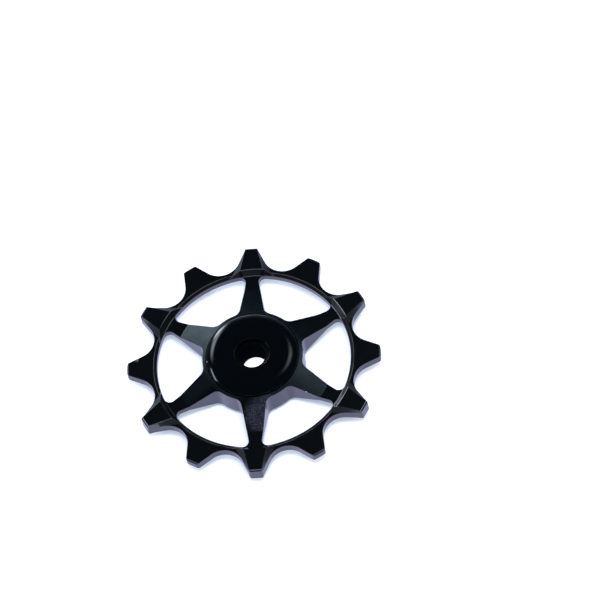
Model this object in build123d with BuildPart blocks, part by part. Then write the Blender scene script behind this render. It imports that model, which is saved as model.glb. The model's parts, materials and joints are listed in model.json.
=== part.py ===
from build123d import *
import math
import os

# A derailleur jockey wheel with narrow and wide teeth, on a sealed ball bearing between two covers.
# Millimetres. The origin is on the axle line in the wheel's middle plane, +Z is along the axle,
# and one wide tooth and one spoke point along +Y.

# Toothed ring
wide_teeth = 6
chain_pitch = 12.7
roller_diameter = 7.75
roller_clearance = 0.2
tip_over_pitch = 0.8
tip_width = 2.6
wide_corner_radius = 0.4
narrow_corner_radius = 0.65
tip_break = 0.25
rim_wall = 1.3
rim_thickness = 1.9
rim_bevel = 0.65

# Raised faces of the wide teeth
wide_thickness = 3.3
wide_tip_chamfer = 0.3
wide_ramp = 1.0
wide_root_width = 4.6
wide_tip_width = 2.3

# Spokes and their web
web_thickness = 1.32
cone_foot_radius = 16.0
spoke_rim_width = 2.2
spoke_hub_width = 5.2
window_rim_radius = 1.2
window_hub_radius = 1.8

# Hub
hub_wall = 2.35
hub_edge = 0.7
hub_lip = 0.35
seat_fit = 0.01

# Ball bearing
bearing_bore = 7.0
bearing_outside = 14.0
bearing_width = 5.0
ball_count = 9
ball_diameter = 2.0
race_depth = 0.2
race_clearance = 0.03
ring_chamfer = 0.2
cage_wall = 1.0
cage_base = 0.5
cage_horn = 0.45
pocket_clearance = 0.06
seal_thickness = 0.3
seal_inset = 0.15
seal_grip = 0.25
seal_lip_clearance = 0.05

# Centre bush
bolt_bore = 5.1
bush_seat = 0.35
bush_chamfer = 0.2
bush_fit = 0.01

# Covers
cover_height = 1.25
cover_lift = 0.15
cover_gap = 0.18
cover_ledge = 0.1
cover_bush_clearance = 0.02
cover_end_clearance = 0.05
cover_shoulder_drop = 0.7
cover_shoulder_width = 2.27
cover_hole_chamfer = 0.1
boss_margin = 0.1

# Radii and heights that follow from the sizes above
tooth_count = 2 * wide_teeth
tooth_angle = 360 / tooth_count
spoke_angle = 360 / wide_teeth
first_tooth_angle = 90
pitch_radius = chain_pitch / (2 * math.sin(math.radians(tooth_angle / 2)))
tip_radius = pitch_radius + tip_over_pitch
tip_tolerance = 1e-6
gullet_radius = roller_diameter / 2 + roller_clearance
gullet_floor = pitch_radius - roller_diameter / 2
gullet_centre = gullet_floor + gullet_radius
rim_inner = gullet_floor - rim_wall
rim_half = rim_thickness / 2
wide_half = wide_thickness / 2
web_half = web_thickness / 2

bearing_radius = bearing_outside / 2
bearing_half = bearing_width / 2
bore_radius = bearing_bore / 2
ball_radius = ball_diameter / 2
ball_circle = (bore_radius + bearing_radius) / 2
race_radius = ball_radius + race_clearance
inner_land = ball_circle - ball_radius + race_depth
outer_land = ball_circle + ball_radius - race_depth
seal_radius = outer_land + seal_grip
seal_floor = bearing_half - seal_inset - seal_thickness

recess_radius = bearing_radius + hub_wall
hub_radius = recess_radius + hub_edge
hub_top = bearing_half + hub_lip
bush_radius = bore_radius - bush_fit
bush_half = bearing_half + bush_seat

cover_radius = recess_radius - cover_gap
cover_face_radius = cover_radius - cover_shoulder_width
cover_face = bearing_half + cover_height
cover_edge_top = cover_face - cover_shoulder_drop
cover_under = bearing_half + cover_lift
cover_seat = bush_half + cover_end_clearance
cover_seat_radius = bush_radius + cover_bush_clearance
cover_hole_radius = bush_radius - cover_ledge
boss_radius = inner_land - boss_margin

# The flank is the tangent from a tip corner to the gullet's arc
tip_corner_angle = math.radians(tooth_angle / 2) - math.asin(tip_width / 2 / tip_radius)
corner_across = tip_radius * math.sin(tip_corner_angle)
corner_along = tip_radius * math.cos(tip_corner_angle) - gullet_centre
corner_reach = math.hypot(corner_across, corner_along)
gullet_flank = math.acos(gullet_radius / corner_reach) - math.atan2(corner_along, corner_across)
tooth_flank = gullet_flank - math.radians(tooth_angle / 2)


def polar(radius, degrees):
    """A point of the XY plane at a radius and an angle from +X."""
    angle = math.radians(degrees)
    return (radius * math.cos(angle), radius * math.sin(angle))


def is_tip_corner(vertex, parity):
    """Whether a vertex is a tip corner of a wide tooth (parity 0) or of a narrow one (parity 1)."""
    teeth_from_first = (math.degrees(math.atan2(vertex.Y, vertex.X)) - first_tooth_angle) / tooth_angle
    on_tip_circle = math.isclose(Vector(vertex).length, tip_radius, rel_tol=tip_tolerance)
    return on_tip_circle and round(teeth_from_first) % 2 == parity


# Outline of all the teeth: a disc with the roller gullets cut out and the tip corners rounded,
# more on the narrow teeth than on the wide ones
with BuildSketch() as gullet:
    flank_start = (
        gullet_centre - gullet_radius * math.sin(gullet_flank),
        gullet_radius * math.cos(gullet_flank),
    )
    flank_run = 2 * (tip_radius - flank_start[0])
    flank_end = (flank_start[0] + flank_run, flank_start[1] + flank_run * math.tan(gullet_flank))
    with BuildLine():
        Line((flank_end[0], -flank_end[1]), (flank_start[0], -flank_start[1]))
        ThreePointArc((flank_start[0], -flank_start[1]), (gullet_floor, 0), flank_start)
        Line(flank_start, flank_end)
        Line(flank_end, (flank_end[0], -flank_end[1]))
    make_face()

with BuildSketch() as tooth_outline:
    Circle(tip_radius)
    with PolarLocations(0, tooth_count, start_angle=first_tooth_angle + tooth_angle / 2):
        add(gullet.sketch, mode=Mode.SUBTRACT)
    for parity, corner_radius in enumerate((wide_corner_radius, narrow_corner_radius)):
        tip_corners = tooth_outline.vertices().filter_by(lambda vertex: is_tip_corner(vertex, parity))
        fillet(tip_corners, corner_radius)

# One raised face of a wide tooth, along +X. Its sides meet the flank lines at the rim's face and lean
# inwards to its top, little at the tip and more at the root.
wide_root = rim_inner + wide_ramp
pad_start = rim_inner - wide_ramp
pad_length = tip_radius - pad_start
lean_share = (wide_half - web_half) / (wide_half - rim_half)
top_tip_half = wide_tip_width / 2
top_start_half = top_tip_half + pad_length * (wide_root_width / 2 - top_tip_half) / (tip_radius - wide_root)
rim_start_half = tip_width / 2 + pad_length * math.tan(tooth_flank)
web_tip_half = top_tip_half + lean_share * (tip_width / 2 - top_tip_half)
web_start_half = top_start_half + lean_share * (rim_start_half - top_start_half)

with BuildPart() as wide_face:
    for height, start_half, tip_half in (
        (web_half, web_start_half, web_tip_half),
        (wide_half, top_start_half, top_tip_half),
    ):
        with BuildSketch(Plane.XY.offset(height)):
            Polygon(
                (pad_start, -start_half),
                (tip_radius, -tip_half),
                (tip_radius, tip_half),
                (pad_start, start_half),
                align=None,
            )
    loft(ruled=True)
    with BuildSketch(Plane.XZ):
        Polygon(
            (rim_inner, web_half),
            (wide_root, wide_half),
            (tip_radius - wide_tip_chamfer, wide_half),
            (tip_radius, wide_half - wide_tip_chamfer),
            (tip_radius, web_half),
            align=None,
        )
    revolve(axis=Axis.Z, mode=Mode.INTERSECT)

# One window between two spokes, along +X, with rounded corners
window_rim_half = spoke_angle / 2 - math.degrees(math.asin(spoke_rim_width / 2 / rim_inner))
window_hub_half = spoke_angle / 2 - math.degrees(math.asin(spoke_hub_width / 2 / hub_radius))

with BuildSketch() as window:
    rim_corners = [polar(rim_inner, side * window_rim_half) for side in (-1, 1)]
    hub_corners = [polar(hub_radius, side * window_hub_half) for side in (-1, 1)]
    with BuildLine():
        ThreePointArc(rim_corners[0], (rim_inner, 0), rim_corners[1])
        Line(rim_corners[1], hub_corners[1])
        ThreePointArc(hub_corners[1], (hub_radius, 0), hub_corners[0])
        Line(hub_corners[0], rim_corners[0])
    make_face()
    fillet(window.vertices().sort_by(Axis.X)[-2:], window_rim_radius)
    fillet(window.vertices().sort_by(Axis.X)[:2], window_hub_radius)

# Toothed wheel: a turned blank with the wide faces raised on it, trimmed to the tooth outline
with BuildPart() as toothed_wheel:
    with BuildSketch(Plane.XZ):
        Polygon(
            (bearing_radius + seat_fit, 0),
            (bearing_radius + seat_fit, bearing_half),
            (recess_radius, bearing_half),
            (recess_radius, hub_top),
            (cone_foot_radius, web_half),
            (rim_inner, web_half),
            (rim_inner + rim_bevel, rim_half),
            (tip_radius - tip_break, rim_half),
            (tip_radius, rim_half - tip_break),
            (tip_radius, 0),
            align=None,
        )
    revolve(axis=Axis.Z)
    with PolarLocations(0, wide_teeth, start_angle=first_tooth_angle):
        add(wide_face.part)
    mirror(about=Plane.XY)
    with BuildSketch():
        add(tooth_outline.sketch)
    extrude(amount=hub_top, both=True, mode=Mode.INTERSECT)
    with BuildSketch():
        with PolarLocations(0, wide_teeth, start_angle=first_tooth_angle + spoke_angle / 2):
            add(window.sketch)
    extrude(amount=hub_top, both=True, mode=Mode.SUBTRACT)

# Bearing rings, each with a round race for the balls
with BuildPart() as bearing_outer_ring:
    with BuildSketch(Plane.XZ):
        Polygon(
            (outer_land, -seal_floor),
            (seal_radius, -seal_floor),
            (seal_radius, -bearing_half),
            (bearing_radius, -bearing_half),
            (bearing_radius, bearing_half),
            (seal_radius, bearing_half),
            (seal_radius, seal_floor),
            (outer_land, seal_floor),
            align=None,
        )
    revolve(axis=Axis.Z)
    chamfer(bearing_outer_ring.edges().filter_by(GeomType.CIRCLE).group_by(SortBy.RADIUS)[-1], ring_chamfer)
    Torus(ball_circle, race_radius, mode=Mode.SUBTRACT)

with BuildPart() as bearing_inner_ring:
    with BuildSketch(Plane.XY.offset(-bearing_half)):
        Circle(inner_land)
        Circle(bore_radius, mode=Mode.SUBTRACT)
    extrude(amount=bearing_width)
    chamfer(bearing_inner_ring.edges().filter_by(GeomType.CIRCLE).group_by(SortBy.RADIUS)[0], ring_chamfer)
    Torus(ball_circle, race_radius, mode=Mode.SUBTRACT)

# Crown cage: a ring under the balls with horns that rise between the ball pockets
with BuildPart() as bearing_cage:
    with BuildSketch(Plane.XY.offset(-ball_radius - cage_base)):
        Circle(ball_circle + cage_wall / 2)
        Circle(ball_circle - cage_wall / 2, mode=Mode.SUBTRACT)
    extrude(amount=ball_radius + cage_base + cage_horn)
    with PolarLocations(ball_circle, ball_count, start_angle=first_tooth_angle):
        Sphere(ball_radius + pocket_clearance, mode=Mode.SUBTRACT)

balls = []
for index in range(ball_count):
    with BuildPart() as bearing_ball:
        with Locations(polar(ball_circle, first_tooth_angle + index * 360 / ball_count)):
            Sphere(ball_radius)
    balls.append(bearing_ball.part)

# Seals: rubber rings gripped by the outer ring, with a lip that clears the inner ring
with BuildPart() as bearing_seal_upper:
    with BuildSketch(Plane.XY.offset(seal_floor)):
        Circle(seal_radius - seat_fit)
        Circle(inner_land + seal_lip_clearance, mode=Mode.SUBTRACT)
    extrude(amount=seal_thickness)

with BuildPart() as bearing_seal_lower:
    mirror(bearing_seal_upper.part, about=Plane.XY)

# Centre bush: the sleeve on the cage bolt that carries the inner ring and centres the covers
with BuildPart() as centre_bush:
    with BuildSketch(Plane.XY.offset(-bush_half)):
        Circle(bush_radius)
        Circle(bolt_bore / 2, mode=Mode.SUBTRACT)
    extrude(amount=2 * bush_half)
    chamfer(centre_bush.edges().filter_by(GeomType.CIRCLE).group_by(SortBy.RADIUS)[0], bush_chamfer)

# Covers: turned caps with a soft shoulder, a boss on the inner ring and a seat on the bush
with BuildPart() as cover_upper:
    with BuildSketch(Plane.XZ):
        with BuildLine():
            Polyline(
                (cover_face_radius, cover_face),
                (cover_hole_radius + cover_hole_chamfer, cover_face),
                (cover_hole_radius, cover_face - cover_hole_chamfer),
                (cover_hole_radius, cover_seat),
                (cover_seat_radius, cover_seat),
                (cover_seat_radius, bearing_half),
                (boss_radius, bearing_half),
                (boss_radius, cover_under),
                (cover_radius, cover_under),
                (cover_radius, cover_edge_top),
            )
            TangentArc((cover_face_radius, cover_face), (cover_radius, cover_edge_top), tangent=(1, 0))
        make_face()
    revolve(axis=Axis.Z)

with BuildPart() as cover_lower:
    mirror(cover_upper.part, about=Plane.XY)

# Write each piece to its own file
pieces = {
    "toothed_wheel": toothed_wheel.part,
    "bearing_outer_ring": bearing_outer_ring.part,
    "bearing_inner_ring": bearing_inner_ring.part,
    "bearing_cage": bearing_cage.part,
    "bearing_seal_upper": bearing_seal_upper.part,
    "bearing_seal_lower": bearing_seal_lower.part,
    "centre_bush": centre_bush.part,
    "cover_upper": cover_upper.part,
    "cover_lower": cover_lower.part,
}
for number, ball in enumerate(balls, start=1):
    pieces[f"bearing_ball_{number}"] = ball

os.makedirs("parts", exist_ok=True)
for name, piece in pieces.items():
    piece.label = name
    export_step(piece, f"parts/{name}.step")
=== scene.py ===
"""Looks of a derailleur jockey wheel: anodised finishes, eased edges, turned covers and a plain studio."""

import json
import logging
import math
from dataclasses import dataclass
from enum import Enum, IntEnum

import bmesh
import bpy
import numpy as np
from mathutils import Matrix, Vector
from mathutils.geometry import delaunay_2d_cdt


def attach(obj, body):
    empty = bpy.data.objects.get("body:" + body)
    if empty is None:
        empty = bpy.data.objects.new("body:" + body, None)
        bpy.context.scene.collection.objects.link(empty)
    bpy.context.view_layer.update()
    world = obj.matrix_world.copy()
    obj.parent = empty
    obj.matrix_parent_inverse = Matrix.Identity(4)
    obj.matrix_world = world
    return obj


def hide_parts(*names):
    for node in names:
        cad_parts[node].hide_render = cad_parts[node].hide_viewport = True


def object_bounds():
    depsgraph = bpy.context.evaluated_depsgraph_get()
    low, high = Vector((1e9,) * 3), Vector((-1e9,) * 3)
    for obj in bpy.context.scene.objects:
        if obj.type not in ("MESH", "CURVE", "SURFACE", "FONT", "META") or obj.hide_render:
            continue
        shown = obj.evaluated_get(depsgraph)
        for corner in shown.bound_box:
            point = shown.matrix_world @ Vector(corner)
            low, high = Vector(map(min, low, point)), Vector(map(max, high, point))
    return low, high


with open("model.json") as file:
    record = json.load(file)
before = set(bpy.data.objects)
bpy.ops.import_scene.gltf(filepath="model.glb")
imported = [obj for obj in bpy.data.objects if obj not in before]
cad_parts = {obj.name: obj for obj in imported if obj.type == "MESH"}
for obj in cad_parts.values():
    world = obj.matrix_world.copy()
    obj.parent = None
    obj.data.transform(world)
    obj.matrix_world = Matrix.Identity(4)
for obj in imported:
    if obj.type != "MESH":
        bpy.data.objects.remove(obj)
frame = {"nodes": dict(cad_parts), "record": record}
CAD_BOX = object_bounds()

LOG = logging.getLogger("jockey_wheel")

# Lengths are in millimetres unless said otherwise, and MM turns them into metres
MM = 0.001
WELD = 0.0001
EASE_SHARE = 0.45
EASE_STEPS = 4
INSIDE_ONLY = 1
MIX_SHARE, MIX_FIRST, MIX_SECOND, MIX_RESULT = 0, 6, 7, 2
# Face attribute that marks pale edges: scuffed coat and painted glints where lamps would catch the eased
# edges.
RUB_AND_GLINT_ATTRIBUTE = "rub_and_glint_edge"
NORMAL_ATTRIBUTE = "given_normal"

Array = np.ndarray
PlanPath = tuple[Array, Array]
Colour = tuple[float, float, float]
Values = dict[str | int, object]
Object = bpy.types.Object
Material = bpy.types.Material
Socket = bpy.types.NodeSocket
Outputs = bpy.types.NodeOutputs
BLACK: Colour = (0.0, 0.0, 0.0)
WHITE: Colour = (1.0, 1.0, 1.0)


class Body(Enum):
    """The bodies that the new pieces ride on."""

    AXLE = "axle"
    WHEEL = "wheel"


class Slot(Enum):
    """The record's material slots."""

    WHEEL = "wheel_anodised"
    COVER = "cover_gloss"
    BUSH = "bush_anodised"
    RING = "ring_steel"
    BALL = "ball_steel"
    CAGE = "cage_nylon"
    SEAL = "seal_rubber"


class Side(Enum):
    """The two ends of the axle, by the sign of Z."""

    UPPER = 1
    LOWER = -1


class Cut(IntEnum):
    """The wheel's faces by how they are cut, numbered as its finishes are."""

    FLAT = 0
    CONE = 1
    BEVEL = 2
    LEANING = 3


# Plan curves and surfaces as whole arrays


def heading(vector: Array) -> float:
    """The angle of a plan vector from +X, in radians."""
    return math.atan2(vector[1], vector[0])


def unit(vectors: Array) -> Array:
    """A vector, or each row of vectors, scaled to length one."""
    return vectors / np.linalg.norm(vectors, axis=-1, keepdims=True)


def polar(radius: Array | float, angle: Array | float) -> Array:
    """Plan points (r cos a, r sin a), one row each."""
    return np.column_stack(np.broadcast_arrays(radius * np.cos(angle), radius * np.sin(angle)))


def arc(start: float, end: float, points: int) -> Array:
    """Unit plan vectors that turn from one angle to another, one row each."""
    return polar(1.0, np.linspace(start, end, points))


def bezier(start: Array, control: Array, end: Array) -> Array:
    """Steps of curves that ease corners: (1-s)^2 start + 2 s (1-s) control + s^2 end, s from 0 to 1."""
    s = np.linspace(0.0, 1.0, EASE_STEPS)[:, None, None]
    return (1 - s) ** 2 * start + 2 * s * (1 - s) * control + s**2 * end


def grid_quads(rows: int, columns: int) -> Array:
    """Corner numbers of a grid's quads, along a row and back on the next, if points count row by row."""
    near = np.arange(rows * columns).reshape(rows, columns)[:-1, :-1]
    return np.stack([near, near + 1, near + columns + 1, near + columns], axis=-1).reshape(-1, 4)


def eased(profile: Array, radii: Array | float) -> Array:
    """A closed profile with each corner replaced by a quadratic curve.

    Each curve starts on the side before the corner and ends on the side after it, both at the corner's
    radius, or nearer where a side is short.

    Args:
        profile: The corners in order, one row each.
        radii: How far from each corner, or from all, its curve starts; zero keeps the corner.

    Returns:
        The points of the eased profile in order.
    """
    before = np.roll(profile, 1, axis=0) - profile
    after = np.roll(profile, -1, axis=0) - profile
    lengths = np.linalg.norm([before, after], axis=2)
    radii = np.minimum(radii, EASE_SHARE * lengths.min(axis=0))
    start, end = profile + (radii / lengths)[..., None] * [before, after]
    points = bezier(start, profile, end).transpose(1, 0, 2).reshape(-1, 2)
    apart = np.linalg.norm(points - np.roll(points, 1, axis=0), axis=1)
    return points[apart > WELD]


def keep_flats_flat(mesh: bpy.types.Mesh) -> None:
    """Shades a mesh smooth with normals that follow its larger faces, so that flats by eased edges stay flat.

    A point's normal is the one it was given, or else the sum, over the faces that meet there, of the squared
    area times the face's normal.

    Args:
        mesh: The welded mesh.
    """
    corners = np.empty(len(mesh.loops), np.int32)
    sides, areas = np.empty(len(mesh.polygons), np.int32), np.empty(len(mesh.polygons), np.float32)
    normals, given = (np.empty((len(items), 3), np.float32) for items in (mesh.polygons, mesh.vertices))
    mesh.loops.foreach_get("vertex_index", corners)
    mesh.polygons.foreach_get("loop_total", sides)
    mesh.polygons.foreach_get("area", areas)
    mesh.polygons.foreach_get("normal", normals.ravel())
    mesh.attributes[NORMAL_ATTRIBUTE].data.foreach_get("vector", given.ravel())
    mesh.attributes.remove(mesh.attributes[NORMAL_ATTRIBUTE])
    sums = np.zeros((len(mesh.vertices), 3))
    np.add.at(sums, corners, np.repeat((areas.astype(float) ** 2)[:, None] * normals, sides, axis=0))
    sums = np.where(given.any(axis=1, keepdims=True), given, sums)
    mesh.shade_smooth()
    mesh.normals_split_custom_set_from_vertices(unit(sums))


def linked(name: str, data: bpy.types.ID) -> Object:
    """A new object that holds this data, linked to the scene."""
    bpy.context.scene.collection.objects.link(holder := bpy.data.objects.new(name, data))
    return holder


def make_piece(
    name: str, points: Array, normals: Array, faces: list[list[int]], rub_and_glint: Array, cut: Array
) -> Object:
    """Puts a surface into a mesh object at the origin, welded and smoothly shaded.

    Args:
        name: The piece's name.
        points: The points in millimetres, one row each.
        normals: The normal of each point, or zero where the faces decide it.
        faces: The corner numbers of each face.
        rub_and_glint: How much each face takes the pale edge colour, for scuffed coat and painted glints: 1
            is pale in places, and more is pale all along.
        cut: The number of each face's finish.

    Returns:
        The linked object.
    """
    mesh = bpy.data.meshes.new(name)
    mesh.from_pydata((points * MM).tolist(), [], faces)
    mesh.attributes.new(RUB_AND_GLINT_ATTRIBUTE, "FLOAT", "FACE").data.foreach_set("value", rub_and_glint.astype(np.float32))
    mesh.attributes.new(NORMAL_ATTRIBUTE, "FLOAT_VECTOR", "POINT").data.foreach_set("vector", normals.ravel())
    mesh.polygons.foreach_set("material_index", cut.astype(np.int32))
    shell = bmesh.new()
    shell.from_mesh(mesh)
    bmesh.ops.remove_doubles(shell, verts=shell.verts, dist=WELD * MM)
    shell.to_mesh(mesh)
    shell.free()
    keep_flats_flat(mesh)
    return linked(name, mesh)


def turned_piece(name: str, profile: Array, columns: int) -> Object:
    """A turned solid: a closed profile of (radius, height) carried round the axle as (r cos a, r sin a, z).

    Args:
        name: The piece's name.
        profile: The closed profile in millimetres, counter-clockwise with the radius to the right.
        columns: How many places the profile takes round the axle.

    Returns:
        The linked object.
    """
    angle = np.linspace(0.0, 2 * math.pi, columns + 1)
    loop = np.concatenate([profile, profile[:1]])
    radius, height = loop[:, :1], np.broadcast_to(loop[:, 1:], (len(loop), len(angle)))
    points = np.stack([radius * np.cos(angle), radius * np.sin(angle), height], axis=-1).reshape(-1, 3)
    quads = grid_quads(*height.shape)
    plain = np.zeros(len(quads))
    return make_piece(name, points, np.zeros_like(points), quads.tolist(), plain, plain)


# Shader groups that several finishes share


class Graph:
    """A node tree with short calls that add nodes, set their values and join them."""

    def __init__(self, tree: bpy.types.NodeTree) -> None:
        """Keeps the tree, emptied of the nodes that it came with."""
        self.tree = tree
        tree.nodes.clear()

    def add(self, kind: str, values: Values | None = None, **settings: object) -> bpy.types.Node:
        """Adds a node.

        Args:
            kind: The node's type.
            values: Numbers, colours or sockets for its inputs, by the input's name or number.
            settings: Values for its properties.

        Returns:
            The new node.
        """
        node = self.tree.nodes.new(kind)
        for key, value in settings.items():
            setattr(node, key, value)
        for key, value in (values or {}).items():
            socket = node.inputs[key]
            if isinstance(value, Socket):
                self.tree.links.new(value, socket)
            else:
                socket.default_value = (*value, 1.0) if socket.type == "RGBA" else value
        return node

    def math(self, operation: str, first: object, second: object = 0.0, third: object = 0.0) -> Socket:
        """The result of a math node on two or three values or sockets."""
        return self.add("ShaderNodeMath", {0: first, 1: second, 2: third}, operation=operation).outputs[0]

    def vector(self, operation: str, *values: object) -> Outputs:
        """The results of a vector math node."""
        return self.add("ShaderNodeVectorMath", dict(enumerate(values)), operation=operation).outputs

    def ease(self, value: Socket, low: object, high: object) -> Socket:
        """A value mapped from low..high to 0..1 with a smooth step."""
        sockets = {"Value": value, "From Min": low, "From Max": high}
        return self.add("ShaderNodeMapRange", sockets, interpolation_type="SMOOTHSTEP").outputs["Result"]

    def blend(self, share: Socket, first: object, second: object) -> Socket:
        """Two colours mixed by a share."""
        sockets = {MIX_SHARE: share, MIX_FIRST: first, MIX_SECOND: second}
        return self.add("ShaderNodeMix", sockets, data_type="RGBA").outputs[MIX_RESULT]

    def noise(self, place: Socket, scale: object, detail: float) -> Socket:
        """Noise from 0 to 1 at a place."""
        sockets = {"Vector": place, "Scale": scale, "Detail": detail}
        return self.add("ShaderNodeTexNoise", sockets).outputs["Fac"]

    def bump(self, height: Socket, depth: float, normal: Socket | None = None) -> Socket:
        """A normal tilted by a height field of a depth in millimetres, on top of another if one is given."""
        sockets = {"Height": height, "Distance": depth * MM} | ({"Normal": normal} if normal else {})
        return self.add("ShaderNodeBump", sockets).outputs["Normal"]

    def effect(self, group: str, **values: float) -> Outputs:
        """Places a shared group with its own values and gives its results."""
        named = {key.capitalize(): value for key, value in values.items()}
        return self.add("ShaderNodeGroup", named, node_tree=bpy.data.node_groups[group]).outputs

    def close(self, **results: Socket) -> None:
        """Ends a shared group with a number output for each result.

        Args:
            results: The results by the names of their outputs.
        """
        named = {key.capitalize(): result for key, result in results.items()}
        for label in named:
            self.tree.interface.new_socket(label, in_out="OUTPUT", socket_type="NodeSocketFloat")
        self.add("NodeGroupOutput", named)


def shader_group(name: str, **inputs: float) -> tuple[Graph, Outputs, Socket]:
    """Starts a shared group with named sockets.

    Args:
        name: The group's name.
        inputs: The number inputs with their usual values.

    Returns:
        The group's graph, what it is given, and the place that is shaded.
    """
    tree = bpy.data.node_groups.new(name, "ShaderNodeTree")
    for key, value in inputs.items():
        socket = tree.interface.new_socket(key.capitalize(), in_out="INPUT", socket_type="NodeSocketFloat")
        socket.default_value = value
    graph = Graph(tree)
    return graph, graph.add("NodeGroupInput").outputs, graph.add("ShaderNodeTexCoord").outputs["Object"]


class SharedEffects:
    """The surface effects that the finishes share, each built once as a node group and found by its name."""

    def build(self) -> None:
        """Builds the groups."""
        self._turning_marks()
        self._coat_grain()
        self._rub_and_glint_edges()
        self._dust_specks()
        self._tinted_patch()

    @staticmethod
    def _turning_marks() -> None:
        """Fine rings left by turning: noise read along the distance from the axle."""
        graph, given, place = shader_group("turning_marks", lines=9000.0)
        radius = graph.vector("LENGTH", graph.vector("MULTIPLY", place, (1.0, 1.0, 0.0))[0])["Value"]
        sockets = {"W": graph.math("MULTIPLY", radius, given["Lines"]), "Scale": 1.0, "Detail": 2.0}
        noise = graph.add("ShaderNodeTexNoise", sockets, noise_dimensions="1D")
        graph.close(height=noise.outputs["Fac"])

    @staticmethod
    def _coat_grain() -> None:
        """The fine tooth of a coat and its broad uneven sheen."""
        graph, given, place = shader_group("coat_grain", fine=9000.0, broad=500.0)
        tooth = graph.noise(place, given["Fine"], detail=3.0)
        graph.close(tooth=tooth, mottle=graph.noise(place, given["Broad"], detail=4.0))

    @staticmethod
    def _rub_and_glint_edges() -> None:
        """Pale edges for scuffed coat and painted glints: the marked edge faces, broken up by noise between
        kept and bare.
        """
        graph, given, place = shader_group("rub_and_glint_edges", amount=0.5, patches=260.0, kept=0.2, bare=0.6)
        marked = graph.add("ShaderNodeAttribute", attribute_name=RUB_AND_GLINT_ATTRIBUTE).outputs["Fac"]
        patches = graph.noise(place, given["Patches"], detail=3.0)
        broken = graph.ease(patches, given["Kept"], given["Bare"])
        edge_rub_and_glint = graph.math("MULTIPLY", marked, broken)
        graph.close(mask=graph.math("MULTIPLY", edge_rub_and_glint, given["Amount"]))

    @staticmethod
    def _dust_specks() -> None:
        """Sparse pale specks: small spots at the points of a cell pattern, with most cells left clean."""
        graph, given, place = shader_group("dust_specks", cells=900.0, share=0.04, core=0.05, rim=0.16)
        cells = graph.add("ShaderNodeTexVoronoi", {"Vector": place, "Scale": given["Cells"]}).outputs
        draw = graph.add("ShaderNodeSeparateColor", {0: cells["Color"]}).outputs[0]
        chosen = graph.math("LESS_THAN", draw, given["Share"])
        spot = graph.math("SUBTRACT", 1.0, graph.ease(cells["Distance"], given["Core"], given["Rim"]))
        graph.close(mask=graph.math("MULTIPLY", chosen, spot))

    @staticmethod
    def _tinted_patch() -> None:
        """A patch round one point: solid, or of fine grains where noise is high, and fading to its reach."""
        graph, given, place = shader_group(
            "tinted_patch", x=0.0, y=0.0, z=0.0, reach=0.001, solid=0.0, core=0.5,
            grains=3800.0, low=0.44, high=0.66,
        )
        centre = graph.add("ShaderNodeCombineXYZ", {axis: given[axis] for axis in "XYZ"}).outputs[0]
        gap = graph.vector("DISTANCE", place, centre)["Value"]
        inside = graph.math("MULTIPLY", given["Reach"], given["Core"])
        near = graph.math("SUBTRACT", 1.0, graph.ease(gap, inside, given["Reach"]))
        grains = graph.noise(place, given["Grains"], detail=2.0)
        grains = graph.math("MAXIMUM", graph.ease(grains, given["Low"], given["High"]), given["Solid"])
        graph.close(mask=graph.math("MULTIPLY", near, grains))


# Finishes


def nodes_of(owner: Material | bpy.types.Light | bpy.types.World) -> Graph:
    """The emptied graph of a material, a lamp or the world."""
    owner.use_nodes = True
    return Graph(owner.node_tree)


def solid_shader(graph: Graph, values: Values) -> None:
    """Ends a material's graph with a principled shader that takes these values."""
    shader = graph.add("ShaderNodeBsdfPrincipled", values)
    graph.add("ShaderNodeOutputMaterial", {"Surface": shader.outputs[0]})


@dataclass(frozen=True)
class Spot:
    """A tinted patch, used for a scuff, pale dots, painted shade and a pale lavender patch: centre and reach
    in millimetres, colour, and 1 where it has no grains.
    """

    x: float
    y: float
    z: float
    reach: float
    colour: Colour
    solid: float = 0.0

    def lay(self, graph: Graph, coat: object) -> tuple[Socket, Socket]:
        """Lays the patch on a coat.

        Args:
            graph: The material's graph.
            coat: The colour under the patch.

        Returns:
            The colour with the patch on it, and the patch's mask.
        """
        place = {"x": self.x * MM, "y": self.y * MM, "z": self.z * MM, "reach": self.reach * MM}
        mask = graph.effect("tinted_patch", solid=self.solid, **place)["Mask"]
        return graph.blend(mask, coat, self.colour), mask


@dataclass(frozen=True)
class Finish:
    """A plain finish, such as bare steel or moulded nylon, with an uneven sheen.

    The mottle of the grain spreads the roughness and darkens the colour to a share of itself. The depths of
    the turning marks and of the coat's tooth are in millimetres.
    """

    name: str
    colour: Colour
    roughness: float
    roughness_spread: float
    mark_depth: float = 0.0
    tooth_depth: float = 0.0
    dark_share: float = 1.0
    metallic: float = 0.0

    def material(self) -> Material:
        """Builds the material.

        Returns:
            The finished material.
        """
        material = bpy.data.materials.new(self.name)
        graph = nodes_of(material)
        grain = graph.effect("coat_grain")
        smoothest = self.roughness - self.roughness_spread / 2
        roughness = graph.math("MULTIPLY_ADD", grain["Mottle"], self.roughness_spread, smoothest)
        normal = None
        if self.mark_depth:
            normal = graph.bump(graph.effect("turning_marks")["Height"], self.mark_depth)
        if self.tooth_depth:
            normal = graph.bump(grain["Tooth"], self.tooth_depth, normal)
        values = {"Roughness": roughness, "Normal": normal}
        solid_shader(graph, values | self._coat(graph, grain["Mottle"]))
        return material

    def _coat(self, graph: Graph, mottle: Socket) -> Values:
        """The shader's values that set this kind of finish apart: here a colour mottled by the grain."""
        darker = tuple(self.dark_share * channel for channel in self.colour)
        return {"Base Color": graph.blend(mottle, self.colour, darker), "Metallic": self.metallic}


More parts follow.
